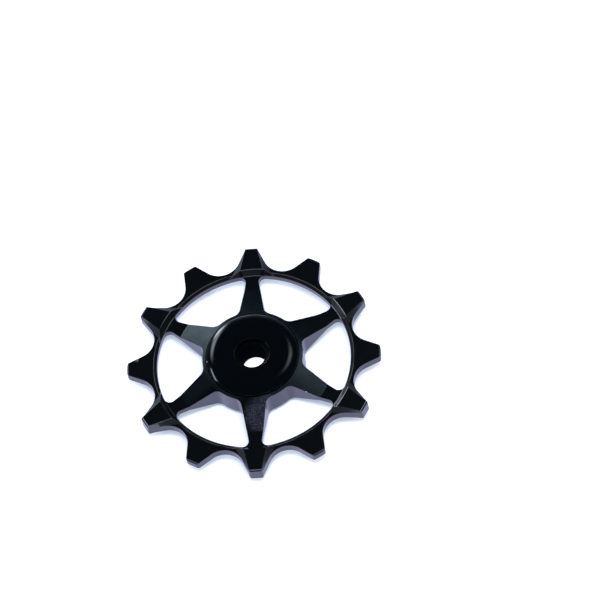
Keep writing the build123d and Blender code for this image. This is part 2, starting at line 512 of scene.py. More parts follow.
@dataclass(frozen=True)
class AnodisedFinish(Finish):
    """Black anodised aluminium: dyed coat under clear oxide, with pale edges for scuffed coat and painted
    glints, dust and tinted spots.
    """

    rub_and_glint_amount: float = 0.0
    dust_share: float = 0.0
    spots: tuple[Spot, ...] = ()
    oxide_ior: float = 1.7
    # Pale edge colour: bare metal where the coat is scuffed, and painted glints along eased edges.
    rub_and_glint_colour: Colour = (0.27, 0.30, 0.36)
    dust_colour: Colour = (0.32, 0.33, 0.36)

    def _coat(self, graph: Graph, mottle: Socket) -> Values:
        """The coat with its pale edges for scuffed coat and painted glints, its dust and spots, and the
        oxide's index.

        Args:
            graph: The material's graph.
            mottle: The grain's mottle, which this even coat leaves out.

        Returns:
            The shader's values by the names of their inputs.
        """
        # Pale edges: scuffed coat, and painted glints where lamps would catch the eased edges.
        rub_and_glint_mask = graph.effect("rub_and_glint_edges", amount=self.rub_and_glint_amount)["Mask"]
        dusty = graph.effect("dust_specks", share=self.dust_share)["Mask"]
        coat = graph.blend(dusty, graph.blend(rub_and_glint_mask, self.colour, self.rub_and_glint_colour), self.dust_colour)
        for spot in self.spots:
            coat, _ = spot.lay(graph, coat)
        return {"Base Color": coat, "IOR": self.oxide_ior}


@dataclass(frozen=True)
class ScallopedFinish(Finish):
    """Black anodised aluminium milled in fine rings, which spread a reflection along the radius only.

    Painted shade darkens the metal on three sectors of the cone that should catch less of the lamps' light,
    and the pale lavender patch on it isn't metal at all. The tangent runs round the axle, and a quarter turn
    lays the spread along the radius.
    """

    spread_along_radius: float = 1.0
    spread_turn: float = 0.25
    painted_shades: tuple[Spot, ...] = ()
    pale_patch: Spot | None = None

    def _coat(self, graph: Graph, mottle: Socket) -> Values:
        """The mottled metal under its painted shade and pale patch, with the spread of its reflection.

        Args:
            graph: The material's graph.
            mottle: The grain's mottle, from 0 to 1.

        Returns:
            The shader's values by the names of their inputs.
        """
        tint = super()._coat(graph, mottle)["Base Color"]
        # Painted shade: darker metal laid over sectors of the cone.
        for painted_shade in self.painted_shades:
            tint, _ = painted_shade.lay(graph, tint)
        # A pale lavender patch that is not metal, on the cone at -90 degrees.
        tint, patched = self.pale_patch.lay(graph, tint)
        tangent = graph.add("ShaderNodeTangent", direction_type="RADIAL", axis="Z").outputs[0]
        return {
            "Base Color": tint, "Metallic": graph.math("SUBTRACT", self.metallic, patched), "Tangent": tangent,
            "Anisotropic": self.spread_along_radius, "Anisotropic Rotation": self.spread_turn,
        }


# A small pale dot's colour.
PALE_DOT_COLOUR: Colour = (0.75, 0.77, 0.80)
SCUFF_COLOUR: Colour = (0.15, 0.16, 0.17)
# A pale lavender tint for a grained patch on the cone.
PALE_PATCH_COLOUR: Colour = (0.085, 0.095, 0.165)
# Painted shade: darker metal colours for sectors of the scalloped cone.
PAINTED_SHADE_COLOUR: Colour = (0.035, 0.048, 0.058)
DARK_PAINTED_SHADE_COLOUR: Colour = (0.024, 0.034, 0.042)
BLACK_COAT: Colour = (0.0011, 0.0020, 0.0034)
CUT_FINISHES: dict[Cut, Finish] = {
    Cut.CONE: ScallopedFinish(
        "scalloped_black_anodised", (0.20, 0.235, 0.255), 0.45, 0.06, 0.0002, dark_share=0.7, metallic=1.0,
        # Painted shade on the sectors at -150, 30 and -90 degrees, which should catch less light.
        painted_shades=(
            Spot(-11.3, -6.5, 1.65, 6.0, DARK_PAINTED_SHADE_COLOUR, solid=1.0),
            Spot(11.3, 6.5, 1.65, 6.0, PAINTED_SHADE_COLOUR, solid=1.0),
            Spot(0.0, -13.0, 1.65, 6.0, PAINTED_SHADE_COLOUR, solid=1.0),
        ),
        # A pale lavender patch, not metal, that brightens the cone at -90 degrees.
        pale_patch=Spot(1.9, -13.2, 2.2, 5.0, PALE_PATCH_COLOUR, solid=0.25),
    ),
    Cut.BEVEL: AnodisedFinish(
        "matte_black_anodised", BLACK_COAT, 0.75, 0.06, 0.0002, 0.0002, rub_and_glint_amount=1.0, dust_share=0.02
    ),
    # The lighter coat is painted sheen for the grey these leaning faces catch; the rougher milled finish is
    # their own.
    Cut.LEANING: AnodisedFinish(
        "milled_anodised_painted_sheen", (0.009, 0.012, 0.020), 0.55, 0.06, 0.0002, 0.0002,
        rub_and_glint_amount=1.0, dust_share=0.02,
    ),
}
FINISHES: dict[Slot, Finish] = {
    Slot.WHEEL: AnodisedFinish(
        "satin_black_anodised", BLACK_COAT, 0.20, 0.06, 0.0002, 0.0002, rub_and_glint_amount=1.0, dust_share=0.02,
        spots=(
            Spot(-23.50, 2.00, 0.95, 0.8, SCUFF_COLOUR),
            # A small pale dot on the cone.
            Spot(10.41, -8.36, 1.5, 0.2, PALE_DOT_COLOUR, solid=1.0),
        ),
    ),
    Slot.COVER: AnodisedFinish(
        "gloss_black_anodised", (0.0005, 0.0012, 0.0020), 0.10, 0.04, 0.0001, 0.0001, dust_share=0.01,
        # A small pale dot on the cover's edge.
        spots=(Spot(-9.10, -0.845, 2.97, 0.25, PALE_DOT_COLOUR, solid=1.0),),
    ),
    Slot.BUSH: AnodisedFinish(
        "bush_black_anodised", (0.0002, 0.0008, 0.0018), 0.55, 0.08, 0.0008, 0.0002, oxide_ior=1.35
    ),
    Slot.RING: Finish(
        "ground_bearing_steel", (0.55, 0.55, 0.56), 0.28, 0.14, 0.0010, dark_share=0.85, metallic=1.0
    ),
    Slot.BALL: Finish(
        "polished_bearing_steel", (0.75, 0.75, 0.76), 0.06, 0.03, 0.0001, dark_share=0.85, metallic=1.0
    ),
    Slot.CAGE: Finish("natural_nylon", (0.62, 0.56, 0.42), 0.50, 0.20, tooth_depth=0.002, dark_share=0.8),
    Slot.SEAL: Finish(
        "black_nitrile_rubber", (0.020, 0.020, 0.022), 0.60, 0.20, tooth_depth=0.003, dark_share=0.8
    ),
}


# The toothed wheel


@dataclass
class ToothedWheel:
    """The ring of narrow and wide teeth with its spokes and hub, built from one mirrored half sector.

    The half sector runs from the axis of a wide tooth and its spoke, along +X, to the axis of the next narrow
    tooth, and holds the upper half of the wheel. Sizes are in millimetres and repeat the solid's own. The
    pale edges of ramps, sides and tips are listed by wide tooth, counter-clockwise from the first: they are
    painted glints that follow where the lamps catch each tooth.
    """

    cut_materials: list[Material]
    wide_teeth: int = 6
    chain_pitch: float = 12.7
    roller_diameter: float = 7.75
    roller_clearance: float = 0.2
    tip_over_pitch: float = 0.8
    tip_width: float = 2.6
    wide_corner_radius: float = 0.4
    narrow_corner_radius: float = 0.65
    tip_break: float = 0.25
    rim_wall: float = 1.3
    rim_half: float = 0.95
    rim_bevel: float = 0.65
    wide_half: float = 1.65
    wide_tip_chamfer: float = 0.3
    wide_ramp: float = 1.0
    wide_root_width: float = 4.6
    wide_tip_width: float = 2.3
    web_half: float = 0.66
    cone_foot_radius: float = 16.0
    spoke_rim_width: float = 2.2
    spoke_hub_width: float = 5.2
    window_rim_radius: float = 1.2
    window_hub_radius: float = 1.8
    seat_radius: float = 7.01
    seat_half: float = 2.5
    recess_radius: float = 9.35
    hub_edge: float = 0.7
    hub_top: float = 2.85
    first_tooth: float = math.radians(90)
    edge_ease: float = 0.06
    crease_ease: float = 0.07
    crease_gap: float = 0.12
    crease_bend: float = 0.001
    slope_step: float = 0.002
    root_gap: float = 1.0
    ramp_share: float = 0.6
    cone_gap: float = 0.25
    plan_weld: float = 1e-6
    tip_points: int = 12
    corner_points: int = 14
    gullet_points: int = 30
    rim_points: int = 40
    window_corner_points: int = 24
    spoke_points: int = 30
    hub_points: int = 16
    lip_points: int = 32
    pad_points: int = 20
    long_line_points: int = 60
    cone_rows: int = 16
    cone_columns: int = 26
    # Pale edge amounts: the even ones for scuffed coat and painted glints, the lists by wide tooth for
    # painted glints that follow where the lamps catch each tooth.
    wall_edge_rub_and_glint: float = 0.11
    crease_rub_and_glint: float = 0.3
    ramp_glints: tuple[float, ...] = (0.35, 0.35, 0.12, 0.0, 1.8, 2.2)
    side_glints: tuple[float, ...] = (0.2, 0.3, 0.5, 0.05, 0.05, 0.05)
    tip_glints: tuple[float, ...] = (0.2, 0.2, 1.2, 0.6, 0.6, 0.2)

    def __post_init__(self) -> None:
        """Works out the radii, slopes and corner centres that the plan curves share."""
        self.half_sector = math.pi / self.wide_teeth
        half_tooth = self.half_sector / 2
        pitch_radius = self.chain_pitch / (2 * math.sin(half_tooth))
        self.tip_radius = pitch_radius + self.tip_over_pitch
        self.gullet_radius = self.roller_diameter / 2 + self.roller_clearance
        gullet_floor = pitch_radius - self.roller_diameter / 2
        gullet_centre = gullet_floor + self.gullet_radius
        self.gullet = gullet_centre * np.array([math.cos(half_tooth), math.sin(half_tooth)])
        self.rim_inner = gullet_floor - self.rim_wall
        self.hub_radius = self.recess_radius + self.hub_edge

        corner_angle = half_tooth - math.asin(self.tip_width / 2 / self.tip_radius)
        across = self.tip_radius * math.sin(corner_angle)
        along = self.tip_radius * math.cos(corner_angle) - gullet_centre
        flank = math.acos(self.gullet_radius / math.hypot(across, along)) - math.atan2(along, across)
        flank -= half_tooth
        self.flank_normal = np.array([math.sin(flank), math.cos(flank)])
        self.flank_run = np.array([-math.cos(flank), math.sin(flank)])
        self.flank_end = self.gullet - self.gullet_radius * self.flank_normal

        self.rim_edge, self.break_start = self.rim_inner + self.rim_bevel, self.tip_radius - self.tip_break
        self.blank = np.array([
            (self.recess_radius, self.hub_top), (self.cone_foot_radius, self.web_half),
            (self.rim_inner, self.web_half), (self.rim_edge, self.rim_half),
            (self.break_start, self.rim_half), (self.tip_radius, self.rim_half - self.tip_break),
        ])
        wide_root, chamfer_start = self.rim_inner + self.wide_ramp, self.tip_radius - self.wide_tip_chamfer
        self.raised = np.array([
            (self.rim_inner, self.web_half), (wide_root, self.wide_half),
            (chamfer_start, self.wide_half), (self.tip_radius, self.wide_half - self.wide_tip_chamfer),
        ])
        lean = (self.wide_half - self.web_half) / (self.wide_half - self.rim_half)
        top_tip, rim_tip = self.wide_tip_width / 2, self.tip_width / 2
        top_taper = (self.wide_root_width / 2 - top_tip) / (self.tip_radius - wide_root)
        foot_taper = top_taper + lean * (math.tan(flank) - top_taper)
        self.face_top = np.array([top_tip, top_taper])
        self.face_foot = np.array([top_tip + lean * (rim_tip - top_tip), foot_taper])

        ends = (self.rim_inner, self.spoke_rim_width), (self.hub_radius, self.spoke_hub_width)
        outer, inner = (np.array([math.sqrt(reach**2 - width**2 / 4), width / 2]) for reach, width in ends)
        self.spoke_run = unit(outer - inner)
        self.spoke_normal = np.array([-self.spoke_run[1], self.spoke_run[0]])
        self.spoke_offset = float(outer @ self.spoke_normal)
        self.rim_corner = self._spoke_corner(self.window_rim_radius, self.rim_inner - self.window_rim_radius)
        self.hub_corner = self._spoke_corner(self.window_hub_radius, self.hub_radius + self.window_hub_radius)

    def _spoke_corner(self, corner_radius: float, reach: float) -> Array:
        """The centre of a window corner: a corner radius off the spoke's side, and this far from the axle."""
        off = self.spoke_offset + corner_radius
        return self.spoke_normal * off + self.spoke_run * math.sqrt(reach**2 - off**2)

    def _tooth_side(self, radius: float) -> PlanPath:
        """Half a tooth's edge, from its axis along +X to the middle of the gullet beside it.

        Tip arc, corner arc, straight flank and gullet arc.

        Args:
            radius: The radius of the tip corner.

        Returns:
            The plan points and their unit normals into the metal.
        """
        normal = self.flank_normal
        off = self.flank_end @ normal - radius
        centre = normal * off - self.flank_run * math.sqrt((self.tip_radius - radius) ** 2 - off**2)
        tip = arc(0.0, heading(centre), self.tip_points)[:-1]
        corner = arc(heading(centre), heading(normal), self.corner_points)[:-1]
        flank = np.linspace(centre + radius * normal, self.flank_end, self.corner_points)[:-1]
        gullet = arc(heading(-normal), heading(-self.gullet), self.gullet_points)
        floor = self.gullet + self.gullet_radius * gullet
        points = [self.tip_radius * tip, centre + radius * corner, flank, floor]
        normals = [-tip, -corner, np.broadcast_to(-normal, flank.shape), gullet]
        return np.concatenate(points), np.concatenate(normals)

    def _outline(self) -> PlanPath:
        """The edge from the wide tooth's axis to the narrow one's, which is mirrored at the gullet's axis.

        Returns:
            The plan points and their unit normals into the metal.
        """
        wide, narrow = self._tooth_side(self.wide_corner_radius), self._tooth_side(self.narrow_corner_radius)
        turn = self.half_sector
        flip = np.array([(math.cos(turn), math.sin(turn)), (math.sin(turn), -math.cos(turn))])
        points, normals = (np.concatenate([near, far[-2::-1] @ flip]) for near, far in zip(wide, narrow))
        return points, normals

    def _window(self) -> PlanPath:
        """Half a window's edge, from its middle on the rim along the spoke to its middle on the hub.

        Rim arc, corner arc, the spoke's straight side, corner arc and hub arc.

        Returns:
            The plan points and their unit normals into the metal.
        """
        normal = self.spoke_normal
        rim = arc(self.half_sector, heading(self.rim_corner), self.rim_points)[:-1]
        rim_turn = arc(heading(self.rim_corner), heading(-normal), self.window_corner_points)[:-1]
        hub_turn = arc(heading(-normal), heading(-self.hub_corner), self.window_corner_points)[:-1]
        hub = arc(heading(self.hub_corner), self.half_sector, self.hub_points)
        rim_corner = self.rim_corner + self.window_rim_radius * rim_turn
        hub_corner = self.hub_corner + self.window_hub_radius * hub_turn
        side_start = self.rim_corner - self.window_rim_radius * normal
        side = np.linspace(side_start, hub_corner[0], self.spoke_points)[:-1]
        points = [self.rim_inner * rim, rim_corner, side, hub_corner, self.hub_radius * hub]
        normals = [rim, rim_turn, np.broadcast_to(-normal, side.shape), hub_turn, -hub]
        return np.concatenate(points), np.concatenate(normals)

    def _lip(self) -> PlanPath:
        """The edge of the cover's recess, from the window's middle back to the spoke's axis."""
        ring = arc(self.half_sector, 0.0, self.lip_points)
        return self.recess_radius * ring, ring

    def _height(self, plan: Array) -> Array:
        """The top surface over plan points.

        The turned blank, or the raised face where that stands higher. The raised face is the lower of its
        turned profile and its side, which falls straight from its top's half width to its foot's.

        Args:
            plan: The plan points, one row each.

        Returns:
            The height over each point.
        """
        radius = np.hypot(*plan.T)
        back = self.tip_radius - plan[:, 0]
        top, foot = (tip + back * taper for tip, taper in (self.face_top, self.face_foot))
        side = self.wide_half - (plan[:, 1] - top) / (foot - top) * (self.wide_half - self.web_half)
        raised = np.minimum(side, np.interp(radius, *self.raised.T))
        return np.maximum(np.interp(radius, *self.blank.T), raised)

    def _lean(self, plan: Array) -> Array:
        """The unit normals (-dh/du, -dh/dv, 1) of the top surface, from its height a step each way."""
        rise = [self._height(plan - way) - self._height(plan + way) for way in self.slope_step * np.eye(2)]
        return unit(np.column_stack([*rise, np.full(len(plan), 2 * self.slope_step)]))

    def _bend(self, plan: Array) -> Array:
        """How far the top surface stands over the mean of four points round about each plan point."""
        around = self.crease_gap * np.concatenate([np.eye(2), -np.eye(2)])
        return self._height(plan) - np.mean([self._height(plan + step) for step in around], axis=0)

    def _face_edge(self, radius: Array, profile: Array, inset: float) -> Array:
        """Plan points where the raised face's side crosses a turned profile.

        At the profile's height the side is the line v = a - b u, which meets the circle u^2 + v^2 = r^2 at
        u = (a b + sqrt(a^2 b^2 - (1 + b^2)(a^2 - r^2))) / (1 + b^2).

        Args:
            radius: The distances from the axle to solve for.
            profile: The turned profile that the side crosses.
            inset: How far inside the side's line the points lie.

        Returns:
            The points, one row each.
        """
        rise = (np.interp(radius, *profile.T) - self.web_half) / (self.wide_half - self.web_half)
        tip, taper = self.face_foot[:, None] + rise * (self.face_top - self.face_foot)[:, None]
        a, b = tip + taper * self.tip_radius - inset, taper
        u = (a * b + np.sqrt(a**2 * b**2 - (1 + b**2) * (a**2 - radius**2))) / (1 + b**2)
        return np.column_stack([u, a - b * u])

    def _creases(self) -> list[Array]:
        """Lines on both sides of each crease of the top surface, so that a narrow strip eases it.

        Returns:
            One array of plan points for each line.
        """
        lines: list[Array] = []
        foot, ramp_start, gap = self.cone_foot_radius, self.rim_inner + self.crease_gap, self.crease_gap
        wide_root, chamfer_start = self.raised[1:3, 0]
        root_reach = np.linalg.norm(self.flank_end) - self.root_gap
        spoke_edge = heading(self.spoke_normal) - math.acos((self.spoke_offset - gap) / foot)
        ramp_edge = self.ramp_share * heading(self.rim_corner)
        tip_edge = self.half_sector - math.asin((self.tip_width / 2 - gap) / self.break_start)
        for ease in (-self.crease_ease, self.crease_ease):
            lines.append((foot + ease) * arc(0.0, spoke_edge, self.window_corner_points))
            lines.append((self.rim_inner + ease) * arc(0.0, ramp_edge, self.hub_points))
            beside = heading(self._face_edge(np.array([self.rim_edge + ease]), self.blank, -gap)[0])
            lines.append((self.rim_edge + ease) * arc(beside, self.half_sector, self.long_line_points))
            for radius in (wide_root, chamfer_start):
                side = heading(self._face_edge(np.array([radius + ease]), self.raised, gap)[0])
                lines.append((radius + ease) * arc(0.0, side, self.pad_points))
            lines.append((self.break_start + ease) * arc(tip_edge, self.half_sector, self.tip_points))
            for profile, end, points in (
                (self.raised, chamfer_start, self.long_line_points), (self.blank, root_reach, self.hub_points)
            ):
                lines.append(self._face_edge(np.linspace(ramp_start, end, points), profile, ease))
        return lines

    def _cone_points(self, edge: Array) -> Array:
        """Points spread over the cone between hub and web, so that it stays round.

        Args:
            edge: The plan points of the half sector's edge, which the spread keeps clear of.

        Returns:
            The plan points, one row each.
        """
        radius, angle = np.meshgrid(
            np.linspace(self.recess_radius, self.cone_foot_radius, self.cone_rows)[1:-1],
            np.linspace(0.0, self.half_sector, self.cone_columns)[1:-1],
        )
        points = polar(radius.ravel(), angle.ravel())
        return points[np.linalg.norm(points[:, None] - edge[None], axis=-1).min(axis=1) > self.cone_gap]

    def _top(self, edge: Array) -> tuple[Array, Array]:
        """The half sector's top: its plan divided into triangles along the creases and raised to its height.

        Args:
            edge: The closed plan edge, counter-clockwise.

        Returns:
            The points and the corner numbers of the triangles.
        """
        lines = self._creases()
        plan = np.concatenate([edge, *lines, self._cone_points(edge)])
        starts = np.cumsum([len(edge)] + [len(line) for line in lines])
        runs = [np.arange(start, start + len(line)) for start, line in zip(starts, lines)]
        edges = np.concatenate([np.column_stack([run[:-1], run[1:]]) for run in runs])
        loops = [list(range(len(edge)))]
        corners, _, faces, *_ = delaunay_2d_cdt(
            plan.tolist(), edges.tolist(), loops, INSIDE_ONLY, self.plan_weld
        )
        used, numbers = np.unique(np.array(faces), return_inverse=True)
        corners = np.array([tuple(corner) for corner in corners])[used]
        return np.column_stack([corners, self._height(corners)]), numbers.reshape(-1, 3)

    def _wall(self, path: Array, normals: Array) -> Array:
        """A wall from the middle plane up, eased over into the top: a profile carried along a plan path.

        Args:
            path: The wall's plan points.
            normals: Their unit normals into the metal.

        Returns:
            An array of rows by path points by coordinates.
        """
        inner, height = path + self.edge_ease * normals, self._height(path)
        middle, start, control = (
            np.column_stack([path, level]) for level in (0 * height, height - self.edge_ease, height)
        )
        end = np.column_stack([inner, self._height(inner)])
        return np.concatenate([middle[None], bezier(start, control, end)])

    def _recess(self, path: Array, normals: Array) -> Array:
        """The bearing seat, the recess floor and the lip's wall, with the lip's edge eased as any wall's.

        Args:
            path: The lip's plan points.
            normals: Their unit normals into the metal.

        Returns:
            An array of rows by path points by coordinates.
        """
        seat = self.seat_radius * normals
        level = np.full(len(path), self.seat_half)
        rows = [np.column_stack(row) for row in ((seat, 0 * level), (seat, level), (path, level))]
        return np.concatenate([np.stack(rows), self._wall(path, normals)[1:]])

    def _marks(self, plan: Array) -> tuple[Array, Array]:
        """How the top is paled and cut: its turned edges are paled evenly, for scuffed coat and painted
        glints, and the raised ones tooth by tooth, as painted glints.

        Args:
            plan: The plan points, one row each.

        Returns:
            The pale edge amount at each point, in a row for each wide tooth, and how each point is cut.
        """
        radius, height = np.hypot(*plan.T), self._height(plan)
        turned = np.isclose(height, np.interp(radius, *self.blank.T))
        leaning = ~turned & (height < np.interp(radius, *self.raised.T) - WELD)
        bevelled = (radius > self.rim_inner) & (radius < self.rim_edge) | (radius > self.break_start)
        cases = [radius < self.cone_foot_radius, turned & bevelled, leaning]
        cut = np.select(cases, [Cut.CONE, Cut.BEVEL, Cut.LEANING], Cut.FLAT)
        foot, root, tip = (np.abs(radius - edge) < self.crease_ease for edge in self.raised[:3, 0])
        bent = self._bend(plan) > self.crease_bend
        ramp_edge, tip_edge = foot | root & bent, tip & bent & ~turned
        side_edge = bent & ~turned & ~ramp_edge & ~tip_edge
        # Even pale edges for scuffed coat and painted glints, then painted glints tooth by tooth.
        rub_and_glint = self.crease_rub_and_glint * (bent & turned & ~ramp_edge)
        for by_tooth, marked in (
            (self.ramp_glints, ramp_edge), (self.side_glints, side_edge), (self.tip_glints, tip_edge)
        ):
            rub_and_glint = rub_and_glint + np.outer(by_tooth, marked)
        return rub_and_glint, cut

    def build(self) -> Object:
        """Builds the half sector and carries it round and over into the whole wheel.

        Returns:
            The finished piece.
        """
        outline, window, lip = self._outline(), self._window(), self._lip()
        rings = [path + self.edge_ease * normals for path, normals in (outline, window, lip)]
        creases = np.array([-self.crease_ease, self.crease_ease])
        tip_line = np.concatenate([self.break_start - creases, self.rim_edge - creases])
        spoke_radii = np.array([self.cone_foot_radius, *self.raised[:3, 0]])
        spoke_line = (spoke_radii[:, None] + creases).ravel()
        edge = [rings[0], polar(tip_line, self.half_sector), *rings[1:], polar(spoke_line, 0.0)]
        top, triangles = self._top(np.concatenate(edge))
        strips = [self._wall(*outline), self._wall(*window), self._recess(*lip)]
        points, leans, quads, wall_rub_and_glint = [top], [self._lean(top[:, :2])], [], []
        # Eased wall edges take pale edges for scuffed coat and painted glints.
        for strip, edge_rub_and_glint in zip(strips, (self.wall_edge_rub_and_glint, self.wall_edge_rub_and_glint, 0.0)):
            rows, columns = strip.shape[:2]
            quads.append(grid_quads(rows, columns) + sum(len(part) for part in points))
            wall_rub_and_glint.append(np.repeat(edge_rub_and_glint * (np.arange(rows - 1) >= rows - EASE_STEPS), columns - 1))
            lean = np.zeros_like(strip)
            lean[-1] = self._lean(strip[-1, :, :2])
            points.append(strip.reshape(-1, 3))
            leans.append(lean.reshape(-1, 3))
        sector, quads = np.concatenate(points), np.concatenate(quads)
        top_rub_and_glint, cut = self._marks(top[triangles].mean(axis=1)[:, :2])

        turns = self.first_tooth + 2 * self.half_sector * np.arange(self.wide_teeth)
        spin = np.array([
            Matrix.Rotation(turn, 3, "Z") @ Matrix.Diagonal((1.0, mirror, over))
            for turn in turns for mirror in (1, -1) for over in (1, -1)
        ])
        points, normals = (np.einsum("kij,nj->kni", spin, rows) for rows in (sector, np.concatenate(leans)))
        shift = len(sector) * np.arange(len(spin))[:, None, None]
        inside_out = (np.linalg.det(spin) < 0)[:, None, None]
        faces: list[list[int]] = []
        for part in (quads, triangles):
            copies = np.where(inside_out, part[None, :, ::-1], part[None]) + shift
            faces += copies.reshape(-1, part.shape[1]).tolist()
        top_rub_and_glint = np.repeat(top_rub_and_glint, len(spin) // self.wide_teeth, axis=0).ravel()
        rub_and_glint = np.concatenate([np.tile(np.concatenate(wall_rub_and_glint), len(spin)), top_rub_and_glint])
        cut = np.concatenate([np.full(len(quads) * len(spin), Cut.FLAT), np.tile(cut, len(spin))])
        return make_piece("milled_wheel", points.reshape(-1, 3), normals.reshape(-1, 3), faces, rub_and_glint, cut)

    def dress(self, piece: Object, materials: dict[Slot, Material]) -> None:
        """Gives the wheel its finishes and its place in the frame.

        Args:
            piece: The built wheel.
            materials: The finished material of each slot.
        """
        for material in (materials[Slot.WHEEL], *self.cut_materials):
            piece.data.materials.append(material)
        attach(piece, Body.WHEEL.value)
        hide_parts("toothed_wheel")


# The covers and the bush


@dataclass
class Cover:
    """A turned cap with a soft shoulder, a bolt hole, a boss on the inner ring and a seat on the bush."""

    side: Side
    face_radius: float = 6.9
    face: float = 3.75
    hole_radius: float = 3.39
    hole_chamfer: float = 0.1
    seat: float = 2.90
    seat_radius: float = 3.51
    boss_radius: float = 4.35
    boss: float = 2.5
    under: float = 2.65
    radius: float = 9.17
    edge_top: float = 3.05
    edge_ease: float = 0.08
    columns: int = 256
    shoulder_points: int = 24

    def build(self) -> Object:
        """Builds the cap. Its shoulder is the arc that leaves the face level and ends at the edge.

        Returns:
            The finished piece.
        """
        run, drop = self.radius - self.face_radius, self.face - self.edge_top
        shoulder_radius = (run**2 + drop**2) / (2 * drop)
        centre = np.array([self.face_radius, self.face - shoulder_radius])
        edge_angle = math.asin(1 - drop / shoulder_radius)
        shoulder = centre + shoulder_radius * arc(edge_angle, math.pi / 2, self.shoulder_points)
        corners = np.array([
            (self.hole_radius + self.hole_chamfer, self.face),
            (self.hole_radius, self.face - self.hole_chamfer), (self.hole_radius, self.seat),
            (self.seat_radius, self.seat), (self.seat_radius, self.boss),
            (self.boss_radius, self.boss), (self.boss_radius, self.under), (self.radius, self.under),
        ])
        radii = np.full(len(shoulder) + len(corners), self.edge_ease)
        radii[1 : len(shoulder)] = 0.0
        profile = eased(np.concatenate([shoulder, corners]), radii)
        if self.side is Side.LOWER:
            profile = profile[::-1] * (1.0, -1.0)
        return turned_piece(f"turned_cover_{self.side.name.lower()}", profile, self.columns)

    def dress(self, piece: Object, materials: dict[Slot, Material]) -> None:
        """Gives the cover its finish and its place in the frame.

        Args:
            piece: The built cover.
            materials: The finished material of each slot.
        """
        piece.data.materials.append(materials[Slot.COVER])
        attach(piece, Body.AXLE.value)
        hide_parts(f"cover_{self.side.name.lower()}")


@dataclass
class CentreBush:
    """The sleeve on the cage bolt, chamfered at both ends of its bore."""

    bore_radius: float = 2.55
    radius: float = 3.49
    half: float = 2.85
    chamfer: float = 0.2
    edge_ease: float = 0.05
    columns: int = 192

    def build(self) -> Object:
        """Builds the sleeve from its closed profile.

        Returns:
            The finished piece.
        """
        profile = np.array([
            (self.radius, -self.half), (self.radius, self.half),
            (self.bore_radius + self.chamfer, self.half), (self.bore_radius, self.half - self.chamfer),
            (self.bore_radius, self.chamfer - self.half), (self.bore_radius + self.chamfer, -self.half),
        ])
        return turned_piece("turned_bush", eased(profile, self.edge_ease), self.columns)

    def dress(self, piece: Object, materials: dict[Slot, Material]) -> None:
        """Gives the bush its finish and its place in the frame.

        Args:
            piece: The built bush.
            materials: The finished material of each slot.
        """
        piece.data.materials.append(materials[Slot.BUSH])
        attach(piece, Body.AXLE.value)
        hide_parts("centre_bush")


@dataclass
class Bearing:
    """The ball bearing's own solids, which keep their shapes and take detailed finishes."""

    slots: tuple[Slot, ...] = (Slot.RING, Slot.BALL, Slot.CAGE, Slot.SEAL)

    def dress(self, materials: dict[Slot, Material]) -> list[str]:
        """Gives each solid the finish of its slot.

        Args:
            materials: The finished material of each slot.

        Returns:
            The names of the dressed solids.
        """
        wanted = {slot.value: materials[slot] for slot in self.slots}
        dressed = {part["node"]: wanted.get(part["material_slot"]) for part in frame["record"]["subparts"]}
        dressed = {node: material for node, material in dressed.items() if material}
        for node, material in dressed.items():
            solid = frame["nodes"][node].data
            solid.materials.clear()
            solid.materials.append(material)
        return list(dressed)


# The studio


def facing(azimuth: float, elevation: float, roll: float) -> Matrix:
    """The turn of a lamp or a camera that looks at the object: its right, up and back as columns.

    Args:
        azimuth: Where it stands round the object from +X, in degrees.
        elevation: How high it stands over the table, in degrees.
        roll: How far it leans about its own line of sight, in degrees.

    Returns:
        The turn, three by three.
    """
    azimuth, elevation, roll = (math.radians(angle) for angle in (azimuth, elevation, roll))
    level = Vector((math.cos(azimuth), math.sin(azimuth), 0.0))
    back = math.cos(elevation) * level + math.sin(elevation) * Vector((0.0, 0.0, 1.0))
    right = Vector((-level.y, level.x, 0.0))
    right = math.cos(roll) * right - math.sin(roll) * back.cross(right)
    return Matrix((right, back.cross(right), back)).transposed()


@dataclass(frozen=True)
class Softbox:
    """A flat lamp that faces the object, with its place and size given in degrees as the object sees them.

    It fades towards its edges over the soft share of its sides.
    """

    name: str
    azimuth: float
    elevation: float
    wide: float
    tall: float
    radiance: float
    lean: float = 0.0
    soft: float = 0.0
    colour: Colour = (0.88, 1.0, 1.09)
    reach: float = 0.6

    def place(self) -> Object:
        """Places the lamp. A flat lamp's power is four times its area times its radiance.

        Returns:
            The linked lamp.
        """
        lamp = bpy.data.lights.new(self.name, "AREA")
        lamp.shape = "RECTANGLE"
        lamp.size, lamp.size_y = (
            2 * self.reach * math.tan(math.radians(angle / 2)) for angle in (self.wide, self.tall)
        )
        lamp.energy = 4 * lamp.size * lamp.size_y * self.radiance
        lamp.color = self.colour
        if self.soft:
            self._soften(lamp)
        turn = facing(self.azimuth, self.elevation, self.lean)
        stand = linked(self.name, lamp)
        stand.matrix_world = Matrix.Translation(self.reach * turn.col[2]) @ turn.to_4x4()
        stand.visible_camera = False
        return stand

    def _soften(self, lamp: bpy.types.AreaLight) -> None:
        """Fades a lamp: its strength is the product of the eased distances to its nearer edges.

        Args:
            lamp: The lamp to fade.
        """
        graph = nodes_of(lamp)
        across = graph.add("ShaderNodeNewGeometry").outputs["Parametric"]
        sides = graph.add("ShaderNodeSeparateXYZ", {0: across}).outputs
        faded = [graph.ease(graph.math("PINGPONG", side, 0.5), 0.0, self.soft) for side in sides[:2]]
        glow = graph.add("ShaderNodeEmission", {"Strength": graph.math("MULTIPLY", *faded)}).outputs[0]
        graph.add("ShaderNodeOutputLight", {"Surface": glow})


